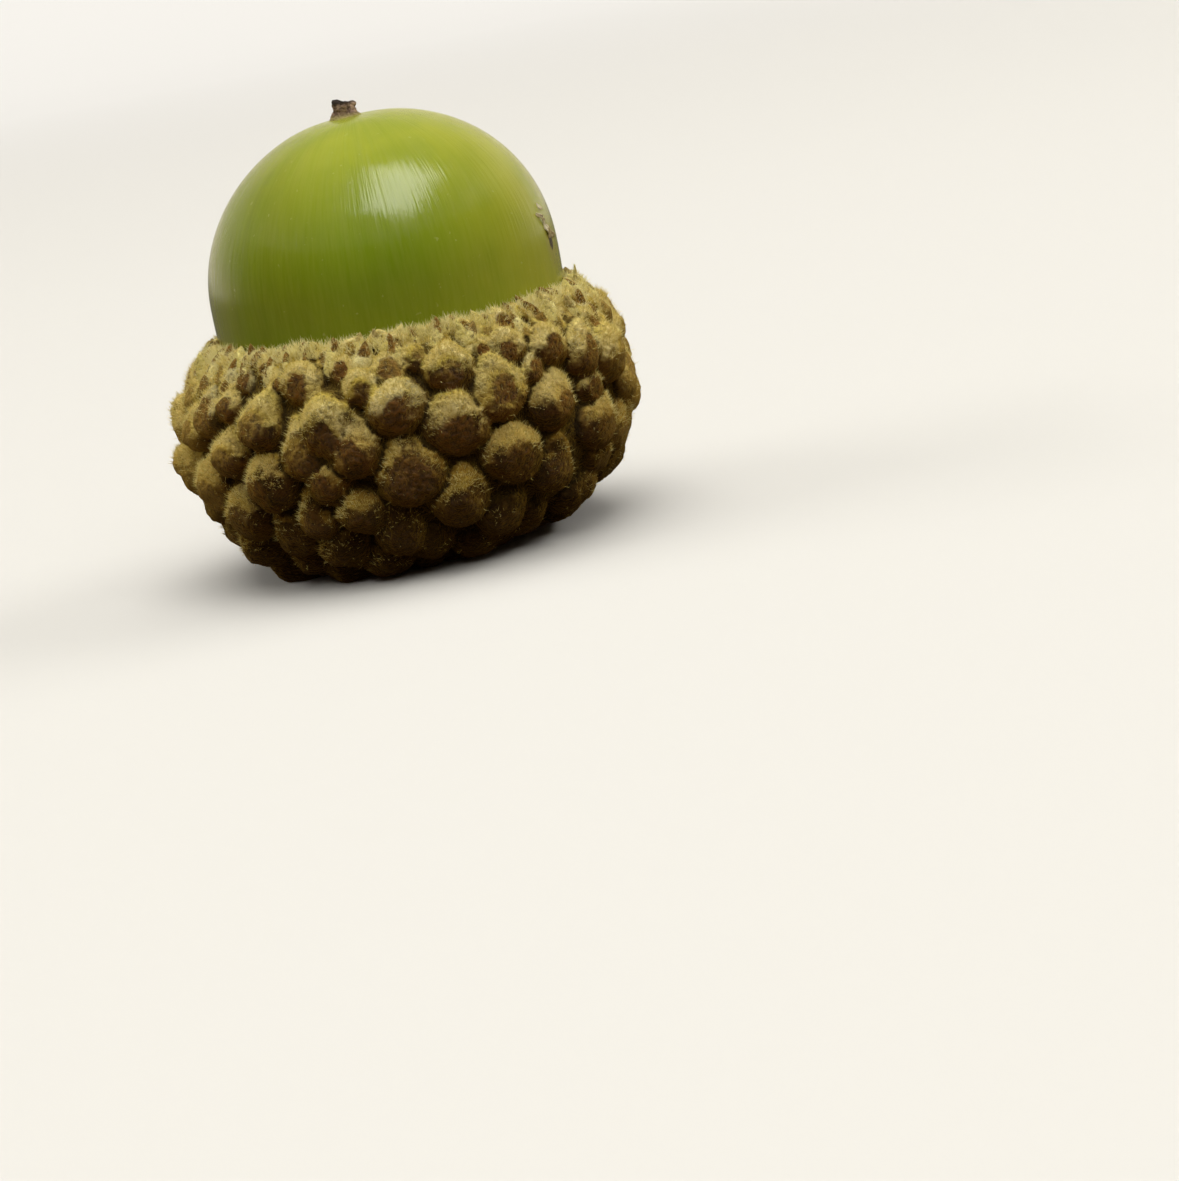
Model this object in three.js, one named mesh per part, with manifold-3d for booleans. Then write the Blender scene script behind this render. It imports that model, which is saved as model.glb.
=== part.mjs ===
// A green acorn: a smooth nut held in a warty, felted cup, standing cup-down on the small flat scar where
// the stalk let go. Millimetres, +Z along the acorn's axis, origin at the middle of the scar.
// Azimuths turn from the front (-Y) towards the right (+X).
import * as THREE from "three";
import { mergeVertices } from "three/addons/utils/BufferGeometryUtils.js";
import Module from "manifold-3d";

const wasm = await Module();
wasm.setup();

// Nut: two superelliptic halves that meet at its widest ring
const NUT_RADIUS = 8.93;
const NUT_WIDEST_Z = 14;
const NUT_CROWN_HEIGHT = 8.3; // widest ring to crown
const NUT_BASE_DEPTH = 12.2; // widest ring to the point the base would run to
const NUT_CROWN_EXPONENT = 2.06; // 2 is an ellipse, more is fuller at the shoulder
const NUT_SHOULDER_LEAN = 0.1; // how much fuller the right shoulder is than the left
const NUT_BASE_EXPONENT = 2.5;
const NUT_APEX_Z = 22.26; // the crown's small flat, where the withered tip stands

// Cup: a bowl whose outline is boxy below its widest ring and elliptic above it
const CUP_FLOOR_Z = 2.4; // inside bottom, where the nut's base rests
const CUP_WIDEST_Z = 8.6;
const CUP_RIM_Z = 11.9;
const BOWL_RADIUS = 10.7; // under the knobs
const BOWL_DEPTH = 8.1; // widest ring to the underside
const BOWL_EXPONENT = 3;
const BOWL_UPPER_HEIGHT = 6.5; // semi-axis of the ellipse above the widest ring
const RIM_THICKNESS = 0.35; // of the rim's edge, outside the nut
const RIM_ROUNDING = 0.15; // how far the rim's edge rises above the bowl's outline
const SCAR_RADIUS = 2.6;
const FIT_GAP = 0.2; // between the nut's side and the cup

// Knobs: swollen scales on the bowl, large low down and small towards the rim
const GOLDEN_TURN = Math.PI * (3 - Math.sqrt(5));
const KNOB_START_RADIUS = 3.5; // the first knobs round the scar
const KNOB_LARGEST = 2.7;
const KNOB_SMALLEST = 1;
const KNOB_WIDTH_AT_SCAR = 0.6; // of the largest width
const KNOB_WIDTH_ABOVE_BELLY = 0.92; // of the largest width
const KNOB_FULL_SIZE_RADIUS = 0.85; // of the bowl's radius, where knobs reach their largest width
const KNOB_TAPER = 0.8; // power by which they shrink towards the rim
const KNOB_WIDTH_RANGE = [0.88, 1.12]; // of the usual width
const KNOB_MODELLED = 1.7; // the finer scales near the rim are part of the smooth collar
const KNOB_PACKING = 0.8; // share of a knob's square that it fills
const KNOB_CLEARANCE = 0.42; // of two knobs' summed widths: how near they may stand
const KNOB_SIDES = 6;
const KNOB_RISE = 0.49; // how far a knob stands out, of its width
const KNOB_MOST_RISE = 1.4;
const KNOB_RISE_LEAN = 0.15; // how much further the knobs stand out on the left than in front
const KNOB_DOME = [[0, -0.5], [1, 0], [0.8, 0.65], [0, 1]]; // in half widths and rises
const GAP_SHARES = [0.8, 0.6]; // of the usual width, for the knobs that fill gaps, largest first
const GAP_SEARCH = 0.4; // of the usual spacing, between the places tried for them
const KNOB_LOW_LIMIT = 0.3; // no knob comes nearer to the resting plane
const KNOB_ROWS = 400; // steps up the bowl in which the knobs' places are found

// The largest knobs at the front: azimuth in degrees, height, width
const FRONT_KNOBS = [
  [-29, 7.4, 2.6],
  [-22, 8.2, 2.7],
  [-15, 7.3, 2.6],
  [-3, 5.7, 3],
  [-24, 5.7, 2],
  [10, 7.2, 2.8],
  [24, 5.4, 2.8],
  [38, 4.3, 2.6],
  [55, 5.6, 2.5],
  [39, 7.4, 2.6],
  [23, 8.7, 2.8],
  [-3, 8.7, 2.5],
  [11, 9.9, 2.2],
  [-28, 10.4, 2],
  [-40, 8.9, 2.6],
  [-42, 6, 2.6],
  [-53, 7.5, 2.3],
  [-61, 9.4, 2.2],
  [-64, 5.8, 2.5],
  [-91, 8.2, 2.9],
  [-84, 6.4, 2.8],
  [-90, 4.4, 2.2],
  [8, 3.8, 2.6],
  [72, 4.8, 2.2],
  [-75, 3.1, 2.3],
];

// Withered flower remains on the crown
const TIP_OFFSET_X = -0.4;
const TIP_HEIGHT = 0.9;
const TIP_RADIUS = 0.6;
const TIP_OUTLINE = [[1, 0], [0.8, 0.3], [1.15, 0.7], [0.7, 0.82], [0, 0.75]]; // in radii and heights
const TIP_LOBES = 4;
const TIP_LOBE_RING = 0.7; // of the tip's radius, where the lobes stand
const TIP_LOBE_RADIUS = 0.4; // of the tip's radius
const TIP_LOBE_HEIGHTS = [0.35, 0.5]; // of the tip's height

// Facets round and along each form
const NUT_FACETS = [36, 22];
const BOWL_FACETS = [32, 9];
const HOLLOW_FACETS = [32, 18];
const TIP_SIDES = 14;
const TIP_LOBE_SIDES = 7;

const COLOURS = { cup: 0x8f7d45, nut: 0x7c8a24, tip: 0x5d4a38 };

// A repeatable number from 0 to 1 for each whole number.
function chance(n) {
  const v = Math.sin(n * 12.9898) * 43758.5453;
  return v - Math.floor(v);
}

function solidOf(geometry) {
  geometry.deleteAttribute("normal");
  geometry.deleteAttribute("uv");
  const merged = mergeVertices(geometry, 1e-4);
  return new wasm.Manifold(
    new wasm.Mesh({
      numProp: 3,
      vertProperties: merged.attributes.position.array,
      triVerts: new Uint32Array(merged.index.array),
    }),
  );
}

function geometryOf(solid) {
  const mesh = solid.getMesh();
  const geometry = new THREE.BufferGeometry();
  geometry.setAttribute("position", new THREE.BufferAttribute(mesh.vertProperties, 3));
  geometry.setIndex(new THREE.BufferAttribute(mesh.triVerts, 1));
  geometry.computeVertexNormals();
  return geometry;
}

// Moves each vertex of a unit sphere to where place(cosine, sine, x, y) puts it: the cosine and sine are of its
// height angle, x and y its direction round the axis.
function shapedSphere(sides, rings, place) {
  const geometry = new THREE.SphereGeometry(1, sides, rings).rotateX(Math.PI / 2);
  const position = geometry.attributes.position;
  for (let i = 0; i < position.count; i++) {
    const [x, y, z] = [position.getX(i), position.getY(i), position.getZ(i)];
    const across = Math.hypot(x, y);
    const point = across < 1e-6 ? place(0, Math.sign(z), 1, 0) : place(across, z, x / across, y / across);
    position.setXYZ(i, ...point);
  }
  return solidOf(geometry);
}

// The nut's body, grown by a gap when it cuts the cup's hollow. The right shoulder (+X) is the fuller one.
function nutBody(gap, sides, rings) {
  return shapedSphere(sides, rings, (cosine, sine, x, y) => {
    const upper = sine > 0;
    const exponent = upper ? NUT_CROWN_EXPONENT + NUT_SHOULDER_LEAN * x : NUT_BASE_EXPONENT;
    const reach = (upper ? NUT_CROWN_HEIGHT : NUT_BASE_DEPTH) + gap;
    const radius = (NUT_RADIUS + gap) * cosine ** (2 / exponent);
    const height = NUT_WIDEST_Z + Math.sign(sine) * reach * Math.abs(sine) ** (2 / exponent);
    const z = Math.min(Math.max(height, CUP_FLOOR_Z), NUT_APEX_Z + gap);
    return [radius * x, radius * y, z];
  });
}

// The bowl's outline under the knobs, from the scar's edge up to the rim, as [radius, height] pairs.
function bowlOutline(steps) {
  const points = [];
  const startAngle = Math.acos((SCAR_RADIUS / BOWL_RADIUS) ** (BOWL_EXPONENT / 2));
  const rimAngle = Math.asin((CUP_RIM_Z - CUP_WIDEST_Z) / BOWL_UPPER_HEIGHT);
  for (let i = 0; i <= steps; i++) {
    const angle = startAngle - (i / steps) * (startAngle + rimAngle);
    const lower = angle > 0;
    const power = lower ? 2 / BOWL_EXPONENT : 1;
    const drop = Math.abs(Math.sin(angle)) ** power * (lower ? BOWL_DEPTH : -BOWL_UPPER_HEIGHT);
    points.push([BOWL_RADIUS * Math.cos(angle) ** power, CUP_WIDEST_Z - drop]);
  }
  return points;
}

function bowlBody() {
  const [sides, steps] = BOWL_FACETS;
  const top = CUP_RIM_Z + RIM_ROUNDING;
  const rim = [NUT_RADIUS + RIM_THICKNESS, top];
  const profile = [[0, 0], [SCAR_RADIUS, 0], ...bowlOutline(steps), rim, [0, top]];
  const points = profile.map(([radius, height]) => new THREE.Vector2(radius, height));
  return solidOf(new THREE.LatheGeometry(points, sides).rotateX(Math.PI / 2));
}

// A knob's usual width at a height on the bowl.
function knobWidth(radius, height) {
  if (height < CUP_WIDEST_Z) {
    const outward = THREE.MathUtils.smoothstep(radius, KNOB_START_RADIUS, KNOB_FULL_SIZE_RADIUS * BOWL_RADIUS);
    return THREE.MathUtils.lerp(KNOB_WIDTH_AT_SCAR * KNOB_LARGEST, KNOB_LARGEST, outward);
  }
  const upward = (height - CUP_WIDEST_Z) / (CUP_RIM_Z - CUP_WIDEST_Z);
  return THREE.MathUtils.lerp(KNOB_WIDTH_ABOVE_BELLY * KNOB_LARGEST, KNOB_SMALLEST, upward ** KNOB_TAPER);
}

// Walks up the bowl in one spiral, a golden turn at a time. `spread` scales the usual spacing.
function spiralOf(spread) {
  const outline = bowlOutline(KNOB_ROWS);
  const seats = [];
  let turn = 0;
  let due = 0;
  for (let i = 1; i < outline.length; i++) {
    const [radius, height] = outline[i];
    const [lastRadius, lastHeight] = outline[i - 1];
    if (radius < KNOB_START_RADIUS && height < CUP_WIDEST_Z) continue;
    const length = Math.hypot(radius - lastRadius, height - lastHeight);
    const width = knobWidth(radius, height);
    due += (length * 2 * Math.PI * radius) / (KNOB_PACKING * (spread * width) ** 2);
    while (due >= 1) {
      due -= 1;
      turn += 1;
      const out = new THREE.Vector2(height - lastHeight, lastRadius - radius).normalize();
      seats.push({ azimuth: turn * GOLDEN_TURN, radius, height, width, out });
    }
  }
  return seats;
}

// Where a knob sits when only its height is given.
function seatAt(azimuth, height, width) {
  const outline = bowlOutline(KNOB_ROWS);
  const i = outline.findIndex((point) => point[1] >= height);
  const [radius] = outline[i];
  const out = new THREE.Vector2(outline[i][1] - outline[i - 1][1], outline[i - 1][0] - radius).normalize();
  return { azimuth, radius, height, width, out };
}

function seatPoint({ azimuth, radius, height }) {
  return new THREE.Vector3(radius * Math.sin(azimuth), -radius * Math.cos(azimuth), height);
}

// The front knobs first, then the spiral where there is room, then small knobs in the gaps that are left.
function knobSeats() {
  const taken = [];
  const add = (seat, crowding) => {
    const point = seatPoint(seat);
    const clear = taken.every((other) => point.distanceTo(other.point) > crowding * (seat.width + other.width));
    if (clear) taken.push({ ...seat, point });
  };
  for (const [degrees, height, width] of FRONT_KNOBS) {
    add(seatAt(THREE.MathUtils.degToRad(degrees), height, width), 0);
  }
  spiralOf(1).forEach((seat, i) => {
    const width = seat.width * THREE.MathUtils.lerp(...KNOB_WIDTH_RANGE, chance(i + 1));
    add({ ...seat, width }, KNOB_CLEARANCE);
  });
  for (const share of GAP_SHARES) {
    spiralOf(GAP_SEARCH).forEach((seat) => add({ ...seat, width: share * seat.width }, KNOB_CLEARANCE));
  }
  return taken;
}

// One knob: a squashed ball sunk into the bowl, its outer side facing away from the bowl.
function knobBody({ azimuth, out, width, point }) {
  const outward = new THREE.Vector3(out.x * Math.sin(azimuth), -out.x * Math.cos(azimuth), out.y);
  const lean = 1 - KNOB_RISE_LEAN * Math.sin(azimuth);
  const proud = Math.min(KNOB_RISE * width, KNOB_MOST_RISE) * lean;
  const dome = KNOB_DOME.map(([radius, height]) => new THREE.Vector2((radius * width) / 2, height * proud));
  const geometry = new THREE.LatheGeometry(dome, KNOB_SIDES).rotateX(Math.PI / 2).rotateZ(azimuth);
  const turned = new THREE.Quaternion().setFromUnitVectors(new THREE.Vector3(0, 0, 1), outward);
  geometry.applyQuaternion(turned).translate(point.x, point.y, point.z);
  const position = geometry.attributes.position;
  for (let i = 0; i < position.count; i++) {
    position.setZ(i, Math.max(position.getZ(i), KNOB_LOW_LIMIT));
  }
  return solidOf(geometry);
}

function cup() {
  const knobs = knobSeats().filter((seat) => seat.width >= KNOB_MODELLED);
  const joined = knobs.reduce((body, seat) => body.add(knobBody(seat)), bowlBody());
  return joined.subtract(nutBody(FIT_GAP, ...HOLLOW_FACETS));
}

// The stub flares from a narrow neck to a ragged crown of dried lobes.
function styleTip() {
  const points = [[0, 0], ...TIP_OUTLINE].map(
    ([radius, height]) => new THREE.Vector2(radius * TIP_RADIUS, height * TIP_HEIGHT),
  );
  let body = solidOf(new THREE.LatheGeometry(points, TIP_SIDES).rotateX(Math.PI / 2));
  for (let i = 0; i < TIP_LOBES; i++) {
    const azimuth = ((i + TIP_LOBE_RADIUS * chance(i + 3)) / TIP_LOBES) * 2 * Math.PI;
    const height = THREE.MathUtils.lerp(...TIP_LOBE_HEIGHTS, chance(i + 9)) * TIP_HEIGHT;
    const [ring, radius] = [TIP_LOBE_RING * TIP_RADIUS, TIP_LOBE_RADIUS * TIP_RADIUS];
    const lobe = new THREE.ConeGeometry(radius, height, TIP_LOBE_SIDES).rotateX(Math.PI / 2);
    lobe.translate(ring * Math.cos(azimuth), ring * Math.sin(azimuth), TIP_HEIGHT - height / 2);
    body = body.add(solidOf(lobe));
  }
  return body;
}

function piece(name, solid, colour, roughness) {
  const material = new THREE.MeshStandardMaterial({ color: colour, roughness, metalness: 0 });
  const mesh = new THREE.Mesh(geometryOf(solid), material);
  mesh.name = name;
  return mesh;
}

const group = new THREE.Group();
group.add(piece("cup", cup(), COLOURS.cup, 0.9));
group.add(piece("nut", nutBody(0, ...NUT_FACETS), COLOURS.nut, 0.35));
const tip = piece("style_tip", styleTip(), COLOURS.tip, 0.85);
tip.position.set(TIP_OFFSET_X, 0, NUT_APEX_Z);
group.add(tip);

export default group;
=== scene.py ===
import math

import bpy
import numpy as np
from mathutils import Matrix, Vector


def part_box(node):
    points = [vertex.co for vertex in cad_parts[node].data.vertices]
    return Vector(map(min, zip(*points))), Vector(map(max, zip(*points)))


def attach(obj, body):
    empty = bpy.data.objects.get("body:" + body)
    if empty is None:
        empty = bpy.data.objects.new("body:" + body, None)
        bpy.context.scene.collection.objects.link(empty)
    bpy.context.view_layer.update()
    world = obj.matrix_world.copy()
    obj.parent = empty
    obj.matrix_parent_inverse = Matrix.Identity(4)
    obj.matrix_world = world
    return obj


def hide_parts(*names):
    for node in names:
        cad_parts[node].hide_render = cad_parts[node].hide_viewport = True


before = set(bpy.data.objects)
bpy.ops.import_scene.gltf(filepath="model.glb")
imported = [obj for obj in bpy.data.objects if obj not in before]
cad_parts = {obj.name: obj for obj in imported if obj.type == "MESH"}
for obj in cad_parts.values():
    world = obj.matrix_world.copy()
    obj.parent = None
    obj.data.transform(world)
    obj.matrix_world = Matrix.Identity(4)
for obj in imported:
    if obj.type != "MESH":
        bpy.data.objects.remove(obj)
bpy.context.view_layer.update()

# The forms are modelled in millimetres and shrunk to life size when they are finished.
LIFE_SIZE = 0.001
NUT_LOW, NUT_HIGH = (corner / LIFE_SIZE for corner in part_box("nut"))
TIP_LOW, TIP_HIGH = (corner / LIFE_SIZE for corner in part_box("style_tip"))

# Nut: two superelliptic halves that meet at its widest ring
NUT_RADIUS = (NUT_HIGH.x - NUT_LOW.x) / 2
NUT_WIDEST_Z = 14.0
NUT_CROWN_HEIGHT = 8.3
NUT_BASE_DEPTH = 12.2
NUT_CROWN_EXPONENT = 2.06
NUT_SHOULDER_LEAN = 0.1
TIP_DIMPLE = 0.16  # how deep the withered tip sits in the crown
DIMPLE_RADIUS = 1.7
TIP_HEIGHT = 0.85
NUT_BASE_EXPONENT = 2.5

# Cup: a bowl whose outline is boxy below its widest ring and elliptic above it
CUP_FLOOR_Z = NUT_LOW.z
CUP_WIDEST_Z = 8.6
CUP_RIM_Z = 11.9
BOWL_RADIUS = 10.7
BOWL_DEPTH = 8.1
BOWL_EXPONENT = 3.0
BOWL_UPPER_HEIGHT = 6.5
SCAR_RADIUS = 2.6
FIT_GAP = 0.2

# Knobs: swollen scales on the bowl, large low down and small towards the rim
GOLDEN_TURN = math.pi * (3 - math.sqrt(5))
KNOB_START_RADIUS = 3.5
KNOB_LARGEST = 2.7
KNOB_SMALLEST = 1.0
KNOB_PACKING = 0.8
KNOB_CLEARANCE = 0.42
GAP_SHARES = (0.8, 0.6)
GAP_SEARCH = 0.4
KNOB_VARIANTS = 7
SWELLING_SIZE = 0.75  # of the lumps that tell one knob from the next, in knob widths
SWELLING_DEPTH = 0.24
KNOB_STANDS_OUT = 1.5  # in knob widths
KNOB_MOST_PROUD = 3.8
KNOB_BREADTH = 1.22  # in knob widths, so that neighbours meet
KNOB_LEAN = 0.15  # how much less the knobs stand out on the right than on the left
LOW_RIGHT_LEAN = 0.25  # the same again low down on the right
RIM_FLATTENING = 0.4
SKIN_LUMPS = (0.8, 0.2)  # size and depth
SKIN_PITS = (0.3, 0.12)
SKIN_CLEARANCE = 0.02  # of the skin above the ground
CREASE_REACH = 12  # edges from a vertex that count as its surroundings
BARE_TIP = (0.31, 0.37)  # half the breadth and height of a scale's bare tip, in knob widths

# Rows of thin scales at the rim: height, number, width
RIM_ROWS = ((10.9, 38, 1.2), (11.35, 46, 1.05), (11.75, 58, 0.85))
BRACT_DEGREES = 80  # where the one tall bract stands

# Felt: how many hairs on the knobs, on the rim's scales and between rim and nut, and how thick they are
KNOB_HAIRS = 44000
SCALE_HAIRS = 20000
RIM_HAIRS = 18000
HAIR_THICKNESS = 0.028
WHISKER_THICKNESS = 0.04
ROOT_DEPTH = 0.02

# A healed scratch on the nut's right side: the azimuth and height of its notch, and for each shred of skin
# its azimuth in degrees, height, length, width, slant and curl
SCAR_NOTCH = (71.5, 14.45)
SCAR_FLAKES = (
    (69, 15.1, 1.2, 0.3, 0.45, 0.12),
    (71, 14.8, 0.7, 0.22, 0.7, 0.2),
    (66, 15.8, 0.5, 0.22, 1.1, 0.12),
    (69, 16.2, 0.35, 0.16, 0.2, 0.1),
)

# Knobs placed one by one at the front and sides: azimuth in degrees, height, width
FRONT_KNOBS = (
    (-29, 7.4, 2.6),
    (-22, 8.2, 2.7),
    (-15, 7.3, 2.6),
    (-3, 5.7, 3.0),
    (-24, 5.7, 2.0),
    (10, 7.2, 2.8),
    (24, 5.4, 2.8),
    (38, 4.3, 2.6),
    (55, 5.6, 2.5),
    (39, 7.4, 2.6),
    (23, 8.7, 2.8),
    (-3, 8.7, 2.5),
    (11, 9.9, 2.2),
    (-28, 10.4, 2.0),
    (-40, 8.9, 2.6),
    (-42, 6.0, 2.6),
    (-53, 7.5, 2.3),
    (-61, 9.4, 2.2),
    (-64, 5.8, 2.5),
    (-91, 8.2, 2.9),
    (-84, 6.4, 2.8),
    (-90, 4.4, 2.2),
    (8, 3.8, 2.6),
    (72, 4.8, 2.2),
    (-75, 3.1, 2.3),
)

SKIN_VOXEL = 0.125
CUP_TRIANGLES = 190000
SEED = 7


# ---------------------------------------------------------------- bench tools

def put_down():
    """Leaves edit mode with nothing selected."""
    if bpy.context.mode != "OBJECT":
        bpy.ops.object.mode_set(mode="OBJECT")
    bpy.ops.object.select_all(action="DESELECT")


def pick_up(piece):
    put_down()
    piece.select_set(True)
    bpy.context.view_layer.objects.active = piece
    return piece


def finish_with(piece, kind, **settings):
    """Adds a modifier and applies it."""
    pick_up(piece)
    modifier = piece.modifiers.new(kind.title(), kind)
    for name, value in settings.items():
        setattr(modifier, name, value)
    bpy.ops.object.modifier_apply(modifier=modifier.name)


def points_of(piece):
    """The piece's vertices as an array of [x, y, z]."""
    flat = np.empty(len(piece.data.vertices) * 3)
    piece.data.vertices.foreach_get("co", flat)
    return flat.reshape(-1, 3)


def move_points(piece, points):
    piece.data.vertices.foreach_set("co", points.ravel())
    piece.data.update()


def store(piece, name, values):
    """Keeps one number per vertex on the piece, for its finish."""
    layer = piece.data.attributes.new(name, "FLOAT", "POINT")
    layer.data.foreach_set("value", np.asarray(values, np.float32))


def join(pieces, name):
    put_down()
    for piece in pieces:
        piece.select_set(True)
    bpy.context.view_layer.objects.active = pieces[0]
    bpy.ops.object.join()
    pieces[0].name = name
    return pieces[0]


def copy_of(piece, place):
    """A copy with its own mesh, set down by the matrix `place`."""
    twin = bpy.data.objects.new(piece.name + "_copy", piece.data.copy())
    twin.data.transform(place)
    bpy.context.scene.collection.objects.link(twin)
    return twin


def shrink_to_life(piece, name, material):
    """Takes a finished form from millimetres to metres and gives it its name, finish and body."""
    pick_up(piece)
    piece.scale = (LIFE_SIZE, LIFE_SIZE, LIFE_SIZE)
    bpy.ops.object.transform_apply(location=True, rotation=True, scale=True)
    piece.name = name
    piece.data.name = name
    piece.data.materials.clear()
    piece.data.materials.append(material)
    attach(piece, "root")
    return piece


def turned_form(name, outline, sides, lid=True):
    """A form turned about Z: a ring at the outline's first radius, pulled on through the others."""
    put_down()
    radius, height = outline[0]
    bpy.ops.mesh.primitive_circle_add(
        vertices=sides, radius=radius, fill_type="NGON", location=(0, 0, height),
    )
    piece = bpy.context.active_object
    bpy.ops.object.transform_apply(location=True, rotation=True, scale=True)
    piece.name = name
    bpy.ops.object.mode_set(mode="EDIT")
    bpy.ops.mesh.select_mode(type="FACE")
    bpy.ops.mesh.select_all(action="SELECT")
    for (last_radius, last_height), (radius, height) in zip(outline, outline[1:]):
        bpy.ops.mesh.extrude_region_move(TRANSFORM_OT_translate={"value": (0, 0, height - last_height)})
        share = radius / last_radius
        bpy.ops.transform.resize(value=(share, share, 1))
    if not lid:
        bpy.ops.mesh.delete(type="ONLY_FACE")
    bpy.ops.mesh.select_all(action="SELECT")
    bpy.ops.mesh.normals_make_consistent(inside=False)
    bpy.ops.object.mode_set(mode="OBJECT")
    return piece


def smoothstep(low, high, value):
    t = np.clip((value - low) / (high - low), 0, 1)
    return t * t * (3 - 2 * t)


def chance(n):
    """A repeatable number from 0 to 1 for each whole number."""
    return math.sin(n * 12.9898) * 43758.5453 % 1


def paint(code):
    """A colour written as on a paint card, such as "7c8a24", as linear red, green, blue and alpha."""
    channels = [int(code[i:i + 2], 16) / 255 for i in (0, 2, 4)]
    return [c / 12.92 if c <= 0.04045 else ((c + 0.055) / 1.055) ** 2.4 for c in channels] + [1]


# ---------------------------------------------------------------- where the knobs sit

def bowl_outline(steps):
    """The bowl under the knobs, from the scar's edge up to the rim, as (radius, height) pairs."""
    start = math.acos((SCAR_RADIUS / BOWL_RADIUS) ** (BOWL_EXPONENT / 2))
    end = -math.asin((CUP_RIM_Z - CUP_WIDEST_Z) / BOWL_UPPER_HEIGHT)
    outline = []
    for i in range(steps + 1):
        angle = start + (end - start) * i / steps
        power = 2 / BOWL_EXPONENT if angle > 0 else 1
        reach = BOWL_DEPTH if angle > 0 else -BOWL_UPPER_HEIGHT
        drop = reach * abs(math.sin(angle)) ** power
        outline.append((BOWL_RADIUS * math.cos(angle) ** power, CUP_WIDEST_Z - drop))
    return outline


FINE_OUTLINE = bowl_outline(400)


def knob_width(radius, height):
    if height < CUP_WIDEST_Z:
        outward = float(smoothstep(KNOB_START_RADIUS, 0.85 * BOWL_RADIUS, radius))
        return KNOB_LARGEST * (0.6 + 0.4 * outward)
    upward = (height - CUP_WIDEST_Z) / (CUP_RIM_Z - CUP_WIDEST_Z)
    return 0.92 * KNOB_LARGEST + (KNOB_SMALLEST - 0.92 * KNOB_LARGEST) * upward ** 0.8


class Seat:
    """One knob's place: a point on the bowl with the directions outward, up the bowl and across."""

    def __init__(self, azimuth, step, width):
        (last_radius, last_height), (radius, height) = FINE_OUTLINE[step - 1], FINE_OUTLINE[step]
        out = Vector((height - last_height, last_radius - radius)).normalized()
        sine, cosine = math.sin(azimuth), math.cos(azimuth)
        self.azimuth = azimuth
        self.width = width
        self.point = Vector((radius * sine, -radius * cosine, height))
        self.outward = Vector((out.x * sine, -out.x * cosine, out.y))
        self.across = Vector((cosine, sine, 0))
        self.upward = self.outward.cross(self.across)

    def matrix(self, size, lift=0.0, twist=0.0, nod=0.0):
        """Stands a form on the seat: its Y runs up the bowl and its Z outward."""
        axes = Matrix((self.across, self.upward, self.outward)).transposed().to_4x4()
        turned = axes @ Matrix.Rotation(twist, 4, "Z") @ Matrix.Rotation(nod, 4, "X")
        sized = Matrix.Diagonal((size[0], size[1], size[2], 1))
        return Matrix.Translation(self.point + lift * self.outward) @ turned @ sized


def spiral(spread):
    """Walks up the bowl a golden turn at a time. `spread` scales the usual spacing."""
    seats = []
    due = 0.0
    for step in range(1, len(FINE_OUTLINE)):
        radius, height = FINE_OUTLINE[step]
        if radius < KNOB_START_RADIUS and height < CUP_WIDEST_Z:
            continue
        length = math.dist(FINE_OUTLINE[step - 1], FINE_OUTLINE[step])
        width = knob_width(radius, height)
        due += length * 2 * math.pi * radius / (KNOB_PACKING * (spread * width) ** 2)
        while due >= 1:
            due -= 1
            seats.append(((len(seats) + 1) * GOLDEN_TURN, step, width))
    return seats


def knob_seats():
    """The knobs placed one by one, then the spiral where there is room, then small knobs in the gaps."""
    taken = []

    def add(azimuth, step, width, crowding):
        seat = Seat(azimuth, step, width)
        if all((seat.point - other.point).length > crowding * (width + other.width) for other in taken):
            taken.append(seat)

    for degrees, height, width in FRONT_KNOBS:
        step = next(i for i, place in enumerate(FINE_OUTLINE) if place[1] >= height)
        add(math.radians(degrees), step, width, 0)
    for i, (azimuth, step, width) in enumerate(spiral(1)):
        add(azimuth, step, width * (0.88 + 0.24 * chance(i + 1)), KNOB_CLEARANCE)
    for share in GAP_SHARES:
        for azimuth, step, width in spiral(GAP_SEARCH):
            add(azimuth, step, share * width, KNOB_CLEARANCE)
    return taken


# ---------------------------------------------------------------- cup

def bowl():
    """The bowl's wall, floor and rim, with the hollow that the nut sits in."""
    inner = []
    lip = CUP_RIM_Z + 0.1
    for i in range(9):
        z = lip - (lip - CUP_FLOOR_Z - 0.9) * i / 8
        depth = (NUT_WIDEST_Z - z) / (NUT_BASE_DEPTH + FIT_GAP)
        radius = (NUT_RADIUS + FIT_GAP) * (1 - depth ** NUT_BASE_EXPONENT) ** (1 / NUT_BASE_EXPONENT)
        inner.append((radius, z))
    inner += [(0.52 * NUT_RADIUS, CUP_FLOOR_Z + 0.2), (0.43 * NUT_RADIUS, CUP_FLOOR_Z)]
    scar = [(0.5 * SCAR_RADIUS, 0.0), (SCAR_RADIUS, 0.0)]
    outline = scar + bowl_outline(24) + [(NUT_RADIUS + 0.35, lip)] + inner
    return turned_form("bowl", outline, 96)


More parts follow.
